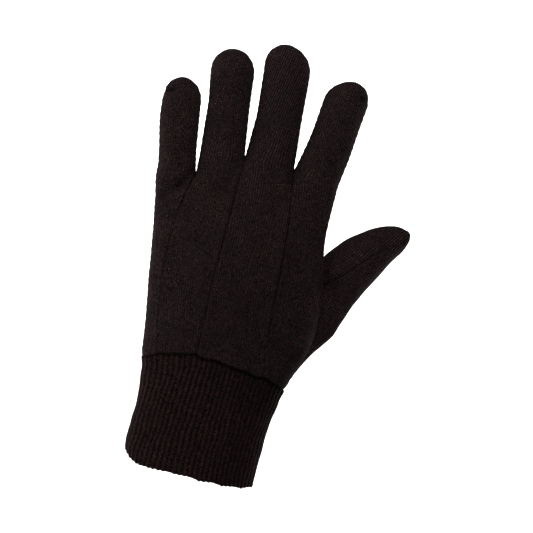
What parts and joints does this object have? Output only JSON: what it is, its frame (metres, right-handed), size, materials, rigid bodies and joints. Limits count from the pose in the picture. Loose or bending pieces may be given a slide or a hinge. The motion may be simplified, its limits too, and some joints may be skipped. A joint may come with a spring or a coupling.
{
  "type": "cotton work glove",
  "caption": "Brown cotton jersey work glove for the left hand, with a back of four long strips and a rib-knit cuff, filled out as worn.",
  "frame": {"origin": "centre of the cuff's open mouth, where the hand goes in", "axes": "+Z from the mouth to the fingertips, -Y out of the back of the hand, +Y out of the palm, +X to the side of the thumb"},
  "size_m": [0.1648, 0.0398, 0.2655],
  "materials": {
    "cotton_jersey": "napped brown cotton jersey with a fine knit grain, matt",
    "rib_knit": "brown rib knit, matt, with narrow ridges along the wrist"
  },
  "bodies": {
    "root": {"palm_panel": "cotton_jersey", "thumb_inner": "cotton_jersey", "back_little": "cotton_jersey", "back_ring": "cotton_jersey", "back_middle": "cotton_jersey", "back_index": "cotton_jersey", "knit_cuff": "rib_knit"}
  },
  "joints": []
}
